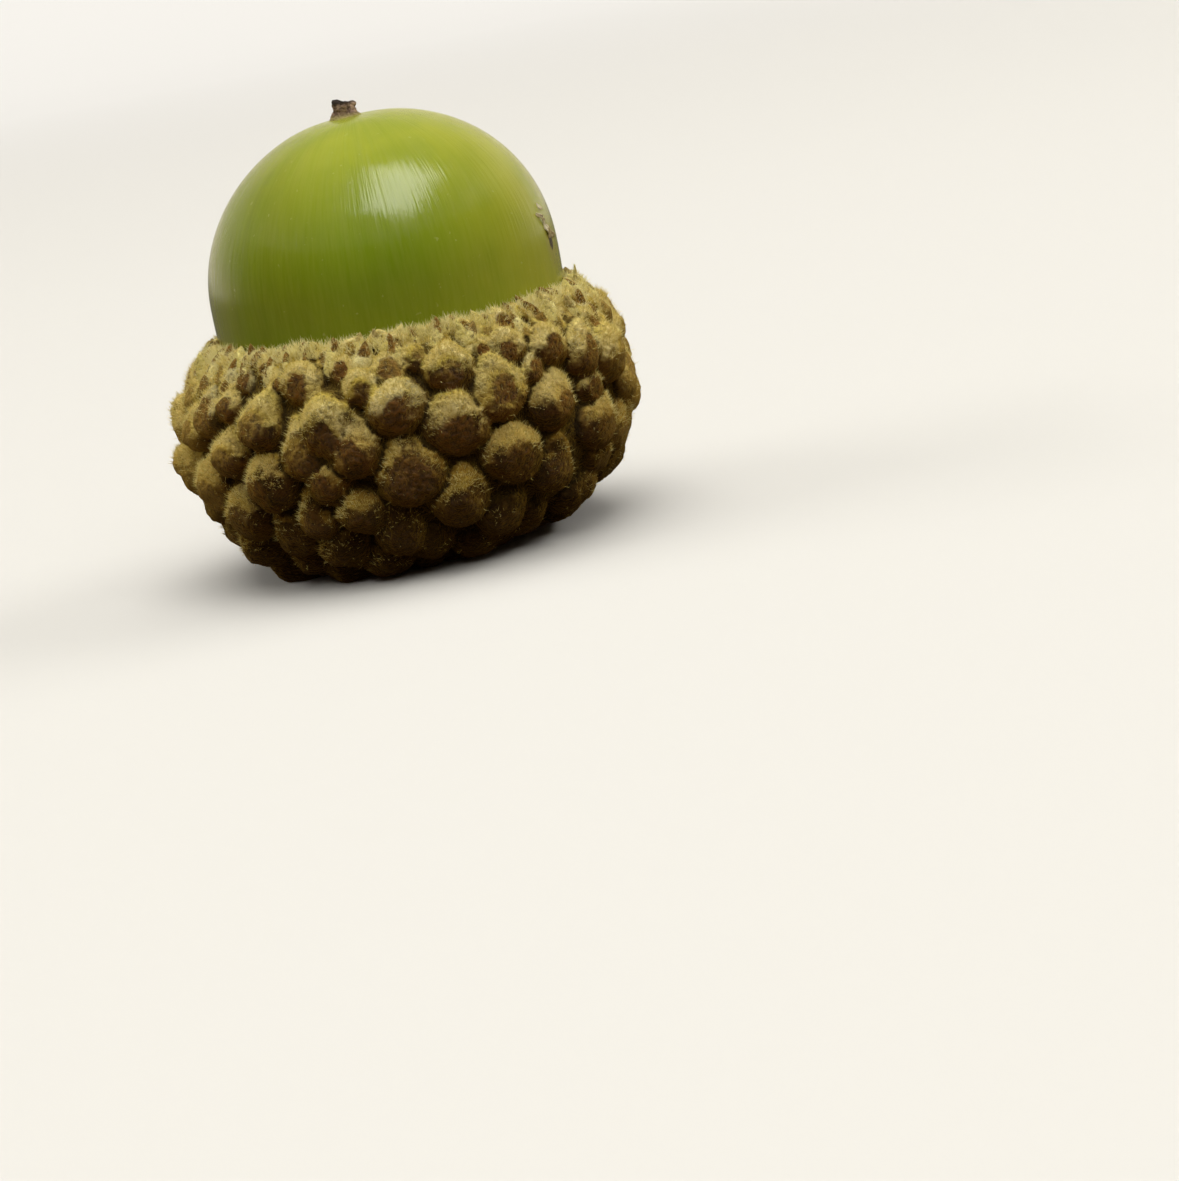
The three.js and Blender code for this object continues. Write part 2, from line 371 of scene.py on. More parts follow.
def knob_form():
    """One swollen scale, 1 across: full and round at its foot, with a blunt keel towards its upper edge."""
    put_down()
    bpy.ops.mesh.primitive_uv_sphere_add(segments=16, ring_count=10, radius=0.5)
    knob = bpy.context.active_object
    knob.name = "knob"
    for vertex in knob.data.vertices:
        vertex.select = vertex.co.z < -0.01
    bpy.ops.object.mode_set(mode="EDIT")
    bpy.ops.transform.resize(value=(0.85, 0.85, 0.5))
    bpy.ops.object.mode_set(mode="OBJECT")
    points = points_of(knob)
    up = points[:, 1] / 0.5
    side = points[:, 0] / 0.5
    above = points[:, 2] > 0
    points[:, 2] *= np.where(above, 1.12 - 0.26 * up, 1)
    points[:, 1] -= above * 0.12 * points[:, 2]
    points[:, 1] += 0.16 * np.clip(up, 0, 1) ** 2 * (1 - np.abs(side)) ** 2
    points[:, 2] += above * 0.07 * np.exp(-((side / 0.2) ** 2)) * smoothstep(-0.1, 0.7, up)
    points[:, 2] -= above * 0.05 * np.exp(-(side**2 + (up + 0.25) ** 2) / 0.1)
    move_points(knob, points)
    finish_with(knob, "SUBSURF", levels=1, render_levels=1)
    return knob


def knob_variants():
    """Knobs of the same make, each swollen in its own way."""
    first = knob_form()
    variants = []
    for i in range(KNOB_VARIANTS):
        knob = copy_of(first, Matrix.Translation((3 * i, 0, 0)))
        finish_with(
            knob, "DISPLACE", texture=clouds("swelling", SWELLING_SIZE, 0), texture_coords="LOCAL",
            strength=SWELLING_DEPTH, mid_level=0.3,
        )
        knob.data.transform(Matrix.Translation((-3 * i, 0, 0)))
        variants.append(knob)
    bpy.data.objects.remove(first)
    return variants


def clouds(name, size, depth=2):
    texture = bpy.data.textures.new(name, "CLOUDS")
    texture.noise_scale = size
    texture.noise_depth = depth
    return texture


def knob_shape(i, seat):
    """How far one knob stands proud, its height up the bowl, and its twist and nod."""
    tall = seat.width * (1.14 + 0.16 * chance(3 * i + 1))
    height, right = seat.point.z, math.sin(seat.azimuth)
    lean = KNOB_LEAN * float(smoothstep(11, 9, height))
    lean += LOW_RIGHT_LEAN * float(smoothstep(7, 4, height)) * (right > 0)
    flatter = 1 - RIM_FLATTENING * float(smoothstep(9.2, 11.2, height))
    proud = min(KNOB_STANDS_OUT * seat.width, KNOB_MOST_PROUD) * (0.92 + 0.2 * chance(3 * i + 2))
    twist = 0.5 * (chance(5 * i + 3) - 0.5)
    nod = 0.3 * (chance(7 * i + 4) - 0.4)
    return tall, proud * flatter * (1 - lean * right), twist, nod


def knob_place(i, seat):
    """Where one knob sits and how it is stretched."""
    tall, proud, twist, nod = knob_shape(i, seat)
    return seat.matrix((KNOB_BREADTH * seat.width, tall, proud), -0.02 * seat.width, twist, nod)


def cup_body(seats):
    """Bowl and knobs grown into one skin, lumpy and slightly pitted."""
    variants = knob_variants()
    parts = [bowl()]
    for i, seat in enumerate(seats):
        parts.append(copy_of(variants[i % KNOB_VARIANTS], knob_place(i, seat)))
    for knob in variants:
        bpy.data.objects.remove(knob)
    body = join(parts, "cup_body")
    finish_with(body, "REMESH", mode="VOXEL", voxel_size=SKIN_VOXEL, use_smooth_shade=True)
    finish_with(body, "SMOOTH", factor=0.5, iterations=3)
    weather(body)
    finish_with(body, "TRIANGULATE")
    if len(body.data.polygons) > CUP_TRIANGLES:
        finish_with(body, "DECIMATE", ratio=CUP_TRIANGLES / len(body.data.polygons))
    points = points_of(body)
    points[:, 2] = np.maximum(points[:, 2], SKIN_CLEARANCE)
    move_points(body, points)
    return body


def hollowness(piece, steps):
    """How far each vertex lies below the average of the vertices around it, that many edges wide."""
    points = points_of(piece)
    edges = np.empty(2 * len(piece.data.edges), dtype=np.int32)
    piece.data.edges.foreach_get("vertices", edges)
    start, end = edges.reshape(-1, 2).T
    one, other = np.concatenate((start, end)), np.concatenate((end, start))
    neighbours = np.bincount(one, minlength=len(points))
    level = points
    for _ in range(steps):
        sums = [np.bincount(one, weights=level[other, axis], minlength=len(points)) for axis in range(3)]
        level = np.column_stack(sums) / neighbours[:, None]
    normals = np.empty(points.size)
    piece.data.vertex_normals.foreach_get("vector", normals)
    return ((level - points) * normals.reshape(-1, 3)).sum(axis=1)


def weather(body):
    """Gives the skin its lumps and pits, fading out on the hollow's wall and the scar."""
    points = points_of(body)
    radius = np.hypot(points[:, 0], points[:, 1])
    depth = np.clip((NUT_WIDEST_Z - points[:, 2]) / NUT_BASE_DEPTH, 0, 1)
    wall = (NUT_RADIUS + FIT_GAP) * (1 - depth**NUT_BASE_EXPONENT) ** (1 / NUT_BASE_EXPONENT)
    outer = np.maximum(smoothstep(0.1, 0.6, radius - wall), points[:, 2] < CUP_FLOOR_Z - 0.4)
    weights = outer * smoothstep(0.05, 0.5, points[:, 2])
    group = body.vertex_groups.new(name="weathered")
    for index in np.flatnonzero(weights > 0):
        group.add([int(index)], float(weights[index]), "REPLACE")
    for name, (size, strength) in (("lumps", SKIN_LUMPS), ("pits", SKIN_PITS)):
        finish_with(
            body, "DISPLACE", texture=clouds(name, size), texture_coords="LOCAL",
            strength=strength, mid_level=0.5, vertex_group="weathered",
        )


def mark_knobs(body, seats):
    """Stores each vertex's depth in a crease, distance from the bare tip, place on the fringe and shade."""
    points = points_of(body)
    nearest = np.full(len(points), np.inf)
    lift, patch, fringe, shade = (np.zeros(len(points)) for _ in range(4))
    for i, seat in enumerate(seats):
        into = np.array(knob_place(i, seat).inverted())
        local = points @ into[:3, :3].T + into[:3, 3]
        away = np.linalg.norm(local, axis=1)
        own = away < nearest
        nearest[own] = away[own]
        x, y = KNOB_BREADTH * local[own, 0], KNOB_BREADTH * local[own, 1]
        lift[own] = 2 * local[own, 2]
        drift = 0.16 * (chance(11 * i + 5) - 0.5)
        size = 0.75 + 0.5 * chance(13 * i + 6)
        broad, high = size * BARE_TIP[0], size * BARE_TIP[1]
        patch[own] = np.hypot((x - drift) / broad, (y + 0.08 + drift) / high)
        reach = np.hypot(x, y)
        upper = smoothstep(-0.25, 0.45, y / np.maximum(reach, 1e-6))
        fringe[own] = upper * smoothstep(0.24, 0.42, reach)
        shade[own] = chance(17 * i + 7)
    fringe *= smoothstep(0.15, 0.6, lift)
    hollow = smoothstep(0.005, 0.11, hollowness(body, CREASE_REACH))
    crease = np.maximum(hollow, 1 - smoothstep(-0.05, 0.3, lift))
    store(body, "crease", crease)
    store(body, "patch", patch)
    store(body, "fringe", fringe)
    store(body, "shade", shade)


def scale_form():
    """One thin scale of the rim, 1 across: a keeled leaf with a point, hollow side to the bowl."""
    put_down()
    bpy.ops.mesh.primitive_uv_sphere_add(segments=10, ring_count=7, radius=0.5)
    scale = bpy.context.active_object
    scale.name = "scale"
    points = points_of(scale)
    up = points[:, 1] / 0.5
    side = points[:, 0] / 0.5
    points[:, 2] *= np.where(points[:, 2] > 0, 0.75, 0.3)
    points[:, 0] *= 1 - 0.55 * np.clip(up, 0, 1) ** 1.5
    points[:, 1] += 0.45 * np.clip(up, 0, 1) ** 2 * (1 - np.abs(side)) ** 2
    points[:, 2] += 0.12 * np.exp(-(side / 0.2) ** 2) * smoothstep(-0.5, 0.4, up)
    points[:, 2] -= 0.1 * np.clip(up, 0, 1.5) ** 2
    move_points(scale, points)
    finish_with(scale, "SUBSURF", levels=1, render_levels=1)
    return scale


def rim_scales():
    """The thin pointed scales in rows at the rim itself."""
    source = scale_form()
    parts = []
    small = []
    for row, (height, count, width) in enumerate(RIM_ROWS):
        step = next(i for i, place in enumerate(FINE_OUTLINE) if place[1] >= height)
        for i in range(count):
            azimuth = 2 * math.pi * (i + 0.5 * row + 0.35 * (chance(31 * i + row) - 0.5)) / count
            small.append(Seat(azimuth, step, width * (0.85 + 0.35 * chance(37 * i + row + 1))))
    for i, seat in enumerate(small):
        tall = seat.width * (0.9 + 0.4 * chance(19 * i + 1))
        proud = seat.width * (0.7 + 0.4 * chance(19 * i + 2))
        twist = 0.9 * (chance(23 * i + 3) - 0.5)
        nod = 0.1 + 0.6 * chance(29 * i + 4)
        part = copy_of(source, seat.matrix((seat.width, tall, proud), -0.05, twist, nod))
        local = points_of(source)
        store(part, "toward_tip", np.clip(local[:, 1] + 0.55 - 0.9 * np.abs(local[:, 0]), 0, 1.4))
        store(part, "shade", np.full(len(local), chance(41 * i + 5)))
        parts.append(part)
    tall_bract = Seat(math.radians(BRACT_DEGREES), len(FINE_OUTLINE) - 1, 1.0)
    bract = copy_of(source, tall_bract.matrix((0.5, 1.15, 0.4), 0.3, 0.2, 0.95))
    store(bract, "toward_tip", np.clip(points_of(source)[:, 1] + 0.5, 0.3, 0.55))
    store(bract, "shade", np.full(len(bract.data.vertices), 0.5))
    bpy.data.objects.remove(source)
    piece = join(parts + [bract], "rim_scales")
    bpy.ops.object.shade_smooth()
    return piece


# ---------------------------------------------------------------- felt

def hairs(name, roots, directions, lengths, thickness, rng, bend=0.0):
    """Many tapered three-sided hairs as one mesh, each bent once on its way up when `bend` is set."""
    count = len(roots)
    directions = directions / np.linalg.norm(directions, axis=1, keepdims=True)
    helper = np.where(np.abs(directions[:, 2:3]) < 0.9, [[0.0, 0.0, 1.0]], [[1.0, 0.0, 0.0]])
    side = np.cross(directions, helper)
    side /= np.linalg.norm(side, axis=1, keepdims=True)
    other = np.cross(directions, side)
    sway = bend * ((rng.random((count, 1)) - 0.5) * side + (rng.random((count, 1)) - 0.5) * other)
    lengths = lengths[:, None]
    levels = [(roots, 1.0)]
    if bend:
        levels.append((roots + lengths * (0.5 * directions + 0.3 * sway), 0.7))
    corners = []
    for centre, share in levels:
        for corner in range(3):
            angle = 2 * math.pi * corner / 3
            spoke = math.cos(angle) * side + math.sin(angle) * other
            corners.append(centre + share * thickness / 2 * spoke)
    corners.append(roots + lengths * (directions + 1.2 * sway))
    tip = len(corners) - 1
    pattern = [(2, 1, 0)]
    for a, b in ((0, 1), (1, 2), (2, 0)):
        if bend:
            pattern += [(a, b, b + 3), (a, b + 3, a + 3), (a + 3, b + 3, tip)]
        else:
            pattern.append((a, b, tip))
    vertices = np.stack(corners, axis=1).reshape(-1, 3)
    faces = (np.arange(count)[:, None, None] * len(corners) + np.array(pattern)[None]).reshape(-1, 3)
    mesh = bpy.data.meshes.new(name)
    mesh.from_pydata(vertices.tolist(), [], faces.tolist())
    piece = bpy.data.objects.new(name, mesh)
    bpy.context.scene.collection.objects.link(piece)
    store(piece, "shade", np.repeat(rng.random(count), len(corners)))
    return piece


def scatter(body, count, weight, rng):
    """Random places on a mesh, likelier where `weight` is high: their points and normals."""
    mesh = body.data
    mesh.calc_loop_triangles()
    corners = np.empty(len(mesh.loop_triangles) * 3, np.int64)
    mesh.loop_triangles.foreach_get("vertices", corners)
    corners = corners.reshape(-1, 3)
    points = points_of(body)
    a, b, c = (points[corners[:, i]] for i in range(3))
    cross = np.cross(b - a, c - a)
    area = np.linalg.norm(cross, axis=1)
    normals = cross / np.maximum(area[:, None], 1e-12)
    chosen_from = area * weight((a + b + c) / 3, normals, corners)
    chosen = rng.choice(len(corners), count, p=chosen_from / chosen_from.sum())
    u, v = rng.random(count), rng.random(count)
    flip = u + v > 1
    u, v = np.where(flip, 1 - u, u), np.where(flip, 1 - v, v)
    places = a[chosen] + u[:, None] * (b - a)[chosen] + v[:, None] * (c - a)[chosen]
    return places, normals[chosen]


def read(piece, name):
    values = np.empty(len(piece.data.vertices), np.float32)
    piece.data.attributes[name].data.foreach_get("value", values)
    return values


def short_felt(name, body, count, weight, reach, rng):
    """Short hairs on a body, tousled and drawn upward. `reach` is the least length and its spread."""
    places, normals = scatter(body, count, weight, rng)
    normals = normals / np.linalg.norm(normals, axis=1, keepdims=True)
    directions = normals + 1.1 * (rng.random((count, 3)) - 0.5) + np.array([0, 0, 0.4])
    lengths = reach[0] + reach[1] * rng.random(count) ** 2
    return hairs(name, places - ROOT_DEPTH * normals, directions, lengths, HAIR_THICKNESS, rng)


def knob_felt(body, rng):
    """Short pale fibres on the knobs' upper sides and edges, thin on the bare tips."""
    patch, crease, fringe = read(body, "patch"), read(body, "crease"), read(body, "fringe")

    def weight(middle, normals, corners):
        unit = normals / np.maximum(np.linalg.norm(normals, axis=1, keepdims=True), 1e-12)
        radius = np.hypot(middle[:, 0], middle[:, 1])
        outer = (radius > NUT_RADIUS + 0.7) | (middle[:, 2] < CUP_FLOOR_Z - 0.6)
        first = corners[:, 0]
        around = 0.06 + 0.4 * smoothstep(0.7, 1.2, patch[first]) + 1.8 * fringe[first]
        open_felt = around * (1 - crease[first]) ** 3
        facing = smoothstep(-0.25, 0.6, unit[:, 2]) + 0.03
        return outer * open_felt * facing * (middle[:, 2] > 0.6)

    return short_felt("knob_felt", body, KNOB_HAIRS, weight, (0.12, 0.3), rng)


def scale_felt(scales, rng):
    """The same short fibres on the rim's scales, thinner towards their points."""
    toward_tip = read(scales, "toward_tip")

    def weight(middle, normals, corners):
        unit = normals / np.maximum(np.linalg.norm(normals, axis=1, keepdims=True), 1e-12)
        outward = unit[:, 0] * middle[:, 0] + unit[:, 1] * middle[:, 1]
        facing = smoothstep(-3.0, 5.0, outward) + smoothstep(0.0, 0.8, unit[:, 2])
        return facing * (0.1 + smoothstep(1.15, 0.75, toward_tip[corners[:, 0]]))

    return short_felt("scale_felt", scales, SCALE_HAIRS, weight, (0.1, 0.2), rng)


def rim_felt(rng):
    """Pale whiskers that bridge the gap between the rim and the nut, and stand up along the rim."""
    azimuth = 2 * math.pi * rng.random(RIM_HAIRS)
    depth = rng.random(RIM_HAIRS)
    radius = NUT_RADIUS + 0.12 + 0.75 * depth
    waves = 0.08 * np.sin(9 * azimuth) + 0.06 * np.sin(23 * azimuth + 1)
    height = CUP_RIM_Z + 0.15 - 0.5 * depth ** 1.5 + waves
    outward = np.stack([np.sin(azimuth), -np.cos(azimuth), np.zeros(RIM_HAIRS)], axis=1)
    roots = outward * radius[:, None]
    roots[:, 2] = height - 0.1
    directions = (0.75 * depth - 0.12)[:, None] * outward + np.array([0, 0, 0.8])
    directions = directions + 0.9 * (rng.random((RIM_HAIRS, 3)) - 0.5)
    lengths = 0.25 + 0.4 * rng.random(RIM_HAIRS) ** 2
    return hairs("rim_felt", roots, directions, lengths, WHISKER_THICKNESS, rng, bend=0.5)


# ---------------------------------------------------------------- nut and tip

def nut_form():
    """The smooth nut, its right shoulder a little fuller than its left."""
    outline = []
    for i in range(13):
        share = i / 12
        depth = (NUT_WIDEST_Z - CUP_FLOOR_Z) * (1 - share ** 1.2)
        radius = NUT_RADIUS * (1 - (depth / NUT_BASE_DEPTH) ** NUT_BASE_EXPONENT) ** (1 / NUT_BASE_EXPONENT)
        outline.append((radius, NUT_WIDEST_Z - depth))
    for i in range(1, 19):
        angle = 0.5 * math.pi * i / 19
        power = 2 / NUT_CROWN_EXPONENT
        radius = NUT_RADIUS * math.cos(angle) ** power
        outline.append((radius, NUT_WIDEST_Z + NUT_CROWN_HEIGHT * math.sin(angle) ** power))
    outline.append((0.5 * outline[-1][0], NUT_WIDEST_Z + 0.9985 * NUT_CROWN_HEIGHT))
    nut = turned_form("nut_skin", [(0.6 * outline[0][0], CUP_FLOOR_Z)] + outline, 64)
    finish_with(nut, "SUBSURF", levels=2, render_levels=2)
    points = points_of(nut)
    radius = np.hypot(points[:, 0], points[:, 1])
    rise = np.clip((points[:, 2] - NUT_WIDEST_Z) / NUT_CROWN_HEIGHT, 0, 0.999)
    right = points[:, 0] / np.maximum(radius, 1e-6)
    lean = NUT_CROWN_EXPONENT + NUT_SHOULDER_LEAN * right
    plain = (1 - rise ** NUT_CROWN_EXPONENT) ** (1 / NUT_CROWN_EXPONENT)
    leaned = (1 - rise ** lean) ** (1 / lean)
    points[:, :2] *= (leaned / plain)[:, None]
    middle = (TIP_LOW + TIP_HIGH) / 2
    from_tip = np.hypot(points[:, 0] - middle.x, points[:, 1])
    points[:, 2] -= TIP_DIMPLE * np.exp(-((from_tip / DIMPLE_RADIUS) ** 2)) * (rise > 0.5)
    move_points(nut, points)
    pick_up(nut)
    bpy.ops.object.shade_smooth()
    return nut


def nut_radius(azimuth, height):
    """The nut's radius at a height above its widest ring."""
    exponent = NUT_CROWN_EXPONENT + NUT_SHOULDER_LEAN * math.sin(azimuth)
    rise = (height - NUT_WIDEST_Z) / NUT_CROWN_HEIGHT
    return NUT_RADIUS * (1 - rise**exponent) ** (1 / exponent)


def skin_flake(degrees, height, length, width, slant, lift):
    """A ragged shred of dried skin that curls off the nut, as long as `length` down the slant."""
    put_down()
    bpy.ops.mesh.primitive_grid_add(x_subdivisions=5, y_subdivisions=12, size=1)
    flake = bpy.context.active_object
    points = points_of(flake)
    along, across = points[:, 1].copy(), points[:, 0].copy()
    seed = int(degrees + 10 * height)
    ragged = np.array([0.55 + 0.45 * chance(seed + round(20 * value)) for value in along])
    taper = np.sqrt(np.clip(1 - (2 * along) ** 4, 0.04, 1))
    across *= width * ragged * taper
    along *= length
    turn = along * math.sin(slant) + across * math.cos(slant)
    climb = -along * math.cos(slant) + across * math.sin(slant)
    azimuth = math.radians(degrees) + turn / NUT_RADIUS
    heights = height + climb
    radii = np.array([nut_radius(a, h) for a, h in zip(azimuth, heights)])
    curl = lift * (0.35 + points[:, 0]) ** 2 + 0.06 * np.sin(9 * along + 5 * across)
    radii += 0.02 + np.maximum(curl, -0.03)
    move_points(flake, np.stack([radii * np.sin(azimuth), -radii * np.cos(azimuth), heights], axis=1))
    finish_with(flake, "SOLIDIFY", thickness=0.05, offset=0.0)
    return flake


def nut_scar():
    """The healed scratch on the nut's right side: one shred with chips above it."""
    flakes = [skin_flake(*settings) for settings in SCAR_FLAKES]
    piece = join(flakes, "scar_flakes")
    pick_up(piece)
    bpy.ops.object.mode_set(mode="EDIT")
    bpy.ops.mesh.select_all(action="SELECT")
    bpy.ops.mesh.normals_make_consistent(inside=False)
    bpy.ops.object.mode_set(mode="OBJECT")
    bpy.ops.object.shade_smooth()
    return piece


def tip_form():
    """The withered flower remains: a short flared stub with a broken, lobed edge."""
    middle = (TIP_LOW + TIP_HIGH) / 2
    foot = [(1.05, -0.3), (0.86, 0), (0.7, 0.16)]
    stem = [(0.6, 0.34), (0.58, 0.6), (0.6, 0.85), (0.5, 0.98), (0.25, 0.9)]
    tip = turned_form("withered_tip", [(radius, share * TIP_HEIGHT) for radius, share in foot + stem], 18)
    finish_with(tip, "SUBSURF", levels=2, render_levels=2)
    points = points_of(tip)
    azimuth = np.arctan2(points[:, 1], points[:, 0])
    share = points[:, 2] / TIP_HEIGHT
    lobes = 0.5 * np.sin(3 * azimuth + 0.6) + 0.35 * np.sin(5 * azimuth + 2) + 0.25 * np.sin(11 * azimuth)
    points[:, :2] *= (1 + 0.16 * lobes * smoothstep(0.2, 0.9, share))[:, None]
    points[:, 2] += (0.07 * lobes - 0.22 * points[:, 0]) * smoothstep(0.5, 1.0, share)
    points[:, 0] += middle.x
    points[:, 2] += TIP_LOW.z - TIP_DIMPLE
    move_points(tip, points)
    for name, size, strength in (("crumbs", 0.35, 0.22), ("grit", 0.12, 0.1)):
        finish_with(
            tip, "DISPLACE", texture=clouds(name, size), texture_coords="LOCAL",
            strength=strength, mid_level=0.5,
        )
    bpy.ops.object.shade_smooth()
    return tip


# ---------------------------------------------------------------- finishes

class Finish:
    """A node material with short calls for its nodes and links."""

    def __init__(self, name):
        self.material = bpy.data.materials.new(name)
        self.material.use_nodes = True
        self.nodes = self.material.node_tree.nodes
        self.links = self.material.node_tree.links
        self.shader = self.nodes["Principled BSDF"]

    def add(self, kind, **settings):
        node = self.nodes.new(kind)
        for key, value in settings.items():
            setattr(node, key, value)
        return node

    def feed(self, socket, source):
        if isinstance(source, bpy.types.NodeSocket):
            self.links.new(source, socket)
        else:
            socket.default_value = source

    def place(self):
        """Object coordinates, in metres."""
        return self.add("ShaderNodeTexCoord").outputs["Object"]

    def attribute(self, name):
        return self.add("ShaderNodeAttribute", attribute_name=name).outputs["Fac"]

    def maths(self, operation, a, b=0.0):
        node = self.add("ShaderNodeMath", operation=operation)
        for socket, source in zip(node.inputs, (a, b)):
            self.feed(socket, source)
        return node.outputs[0]

    def vector(self, operation, a, b=(0, 0, 0)):
        node = self.add("ShaderNodeVectorMath", operation=operation)
        self.feed(node.inputs[0], a)
        if len(node.inputs) > 1:
            self.feed(node.inputs[1], b)
        return node.outputs["Value"] if operation in ("LENGTH", "DISTANCE") else node.outputs[0]

    def span(self, value, low, high, to_low=0.0, to_high=1.0):
        """Takes the stretch low..high of a value to to_low..to_high, smoothly, and holds it outside."""
        node = self.add("ShaderNodeMapRange", interpolation_type="SMOOTHSTEP")
        names = ("Value", "From Min", "From Max", "To Min", "To Max")
        for name, source in zip(names, (value, low, high, to_low, to_high)):
            self.feed(node.inputs[name], source)
        return node.outputs["Result"]

    def blend(self, share, a, b):
        node = self.add("ShaderNodeMix", data_type="RGBA")
        self.feed(node.inputs[0], share)
        self.feed(node.inputs[6], a)
        self.feed(node.inputs[7], b)
        return node.outputs[2]

    def noise(self, place, size, detail=3.0):
        """Noise with features about `size` metres across."""
        node = self.add("ShaderNodeTexNoise")
        self.feed(node.inputs["Vector"], place)
        self.feed(node.inputs["Scale"], 1 / size)
        self.feed(node.inputs["Detail"], detail)
        self.feed(node.inputs["Roughness"], 0.55)
        return node.outputs["Fac"]

    def group(self, tree, **inputs):
        node = self.add("ShaderNodeGroup", node_tree=tree)
        for name, source in inputs.items():
            self.feed(node.inputs[name], source)
        return node

    def bump(self, height, distance, strength=1.0, normal=None):
        node = self.add("ShaderNodeBump")
        self.feed(node.inputs["Height"], height)
        self.feed(node.inputs["Distance"], distance)
        self.feed(node.inputs["Strength"], strength)
        if normal is not None:
            self.feed(node.inputs["Normal"], normal)
        return node.outputs["Normal"]

    def bloom(self, colour):
        """Gives the finish the pale edge that short felt shows where it is seen from the side."""
        for name, value in (("Sheen Weight", 0.5), ("Sheen Roughness", 0.5), ("Sheen Tint", paint(colour))):
            self.shader.inputs[name].default_value = value
        self.shader.inputs["Specular IOR Level"].default_value = 0.2

    def set(self, **sockets):
        for name, source in sockets.items():
            self.feed(self.shader.inputs[name.replace("_", " ")], source)


def grain_group():
    """Mottle and fine grit for every dry, woody finish: two masks from a place and a feature size."""
    tree = bpy.data.node_groups.new("woody_grain", "ShaderNodeTree")
    tree.interface.new_socket("Place", in_out="INPUT", socket_type="NodeSocketVector")
    tree.interface.new_socket("Mottle size", in_out="INPUT", socket_type="NodeSocketFloat")
    tree.interface.new_socket("Grit size", in_out="INPUT", socket_type="NodeSocketFloat")
    tree.interface.new_socket("Mottle", in_out="OUTPUT", socket_type="NodeSocketFloat")
    tree.interface.new_socket("Grit", in_out="OUTPUT", socket_type="NodeSocketFloat")
    entry = tree.nodes.new("NodeGroupInput")
    leave = tree.nodes.new("NodeGroupOutput")
    for name, size_name, detail in (("Mottle", "Mottle size", 3), ("Grit", "Grit size", 5)):
        scale = tree.nodes.new("ShaderNodeMath")
        scale.operation = "DIVIDE"
        scale.inputs[0].default_value = 1
        tree.links.new(entry.outputs[size_name], scale.inputs[1])
        noise = tree.nodes.new("ShaderNodeTexNoise")
        noise.inputs["Detail"].default_value = detail
        noise.inputs["Roughness"].default_value = 0.6
        tree.links.new(entry.outputs["Place"], noise.inputs["Vector"])
        tree.links.new(scale.outputs[0], noise.inputs["Scale"])
        spread = tree.nodes.new("ShaderNodeMapRange")
        spread.interpolation_type = "SMOOTHSTEP"
        spread.inputs["From Min"].default_value = 0.32
        spread.inputs["From Max"].default_value = 0.68
        tree.links.new(noise.outputs["Fac"], spread.inputs["Value"])
        tree.links.new(spread.outputs["Result"], leave.inputs[name])
    return tree


def nut_finish():
    """Fresh green skin: yellow at the crown, deep green low down, lighter olive on the right that is partly
    painted light, painted shade on the left, a painted reflection along the left edge, and a waxy gloss.
    """
    f = Finish("green_skin")
    place = f.place()
    axes = f.add("ShaderNodeSeparateXYZ")
    f.feed(axes.inputs[0], place)
    x, z = axes.outputs["X"], axes.outputs["Z"]
    ring = f.vector("NORMALIZE", f.vector("MULTIPLY", place, (1, 1, 0)))
    along = f.add("ShaderNodeCombineXYZ")
    f.feed(along.inputs["Z"], f.maths("MULTIPLY", z, 9.0))
    lengthwise = f.vector("ADD", ring, along.outputs[0])
    streak = f.span(f.noise(lengthwise, 0.016, 4), 0.3, 0.7)
    broad = f.span(f.noise(lengthwise, 0.09, 2), 0.35, 0.65)
    patchy = f.span(f.noise(place, 0.0045, 3), 0.35, 0.65)
    height = f.span(z, 0.0153, 0.0226)
    skin = f.blend(height, paint("768e12"), paint("9da22a"))
    skin = f.blend(f.span(z, 0.0165, 0.0125, 0, 0.35), skin, paint("867f10"))
    # Lighter, yellower olive on the right: partly the skin's own tone, partly painted light on the side the
    # light falls on.
    skin = f.blend(f.maths("MULTIPLY", f.span(x, 0.001, 0.0085), 0.8), skin, paint("aaa834"))
    # Painted shade: the left side of the skin is painted darker and greener, for the side turned away from
    # the light.
    skin = f.blend(f.maths("MULTIPLY", f.span(x, -0.001, -0.0065), 0.7), skin, paint("6e740c"))
    # Painted reflection: a pale grey band along the far left edge, for the pale backdrop mirrored there.
    skin = f.blend(f.maths("MULTIPLY", f.span(x, -0.0068, -0.0092), 0.6), skin, paint("a09a5c"))
    skin = f.blend(f.maths("MULTIPLY", broad, 0.22), skin, paint("86961e"))
    skin = f.blend(f.maths("MULTIPLY", patchy, 0.25), skin, paint("5f7a10"))
    skin = f.blend(f.maths("MULTIPLY", streak, 0.08), skin, paint("b4b85a"))
    speck = f.span(f.noise(place, 0.0003, 1), 0.72, 0.8)
    skin = f.blend(f.maths("MULTIPLY", speck, 0.2), skin, paint("cfd08a"))
    azimuth, notch_height = math.radians(SCAR_NOTCH[0]), SCAR_NOTCH[1]
    reach = nut_radius(azimuth, notch_height)
    notch = LIFE_SIZE * Vector((reach * math.sin(azimuth), -reach * math.cos(azimuth), notch_height))
    shorter = Vector((1, 1, 0.6))
    wander = f.maths("MULTIPLY", f.noise(place, 0.0003), 0.0003)
    plain = f.vector("DISTANCE", f.vector("MULTIPLY", place, shorter), notch * shorter)
    away = f.maths("ADD", plain, wander)
    skin = f.blend(f.span(away, 0.0012, 0.0005, 0, 0.5), skin, paint("a59a4c"))
    skin = f.blend(f.span(away, 0.00052, 0.00036, 0, 0.92), skin, paint("3a2810"))
    rough = f.span(streak, 0, 1, 0.08, 0.2)
    fine = f.noise(lengthwise, 0.024, 4)
    pores = f.noise(place, 0.00018, 2)
    ridge = f.bump(fine, 0.000028, 1.0)
    f.set(Base_Color=skin, Roughness=rough, Normal=f.bump(pores, 0.000003, 1.0, ridge))
    return f.material


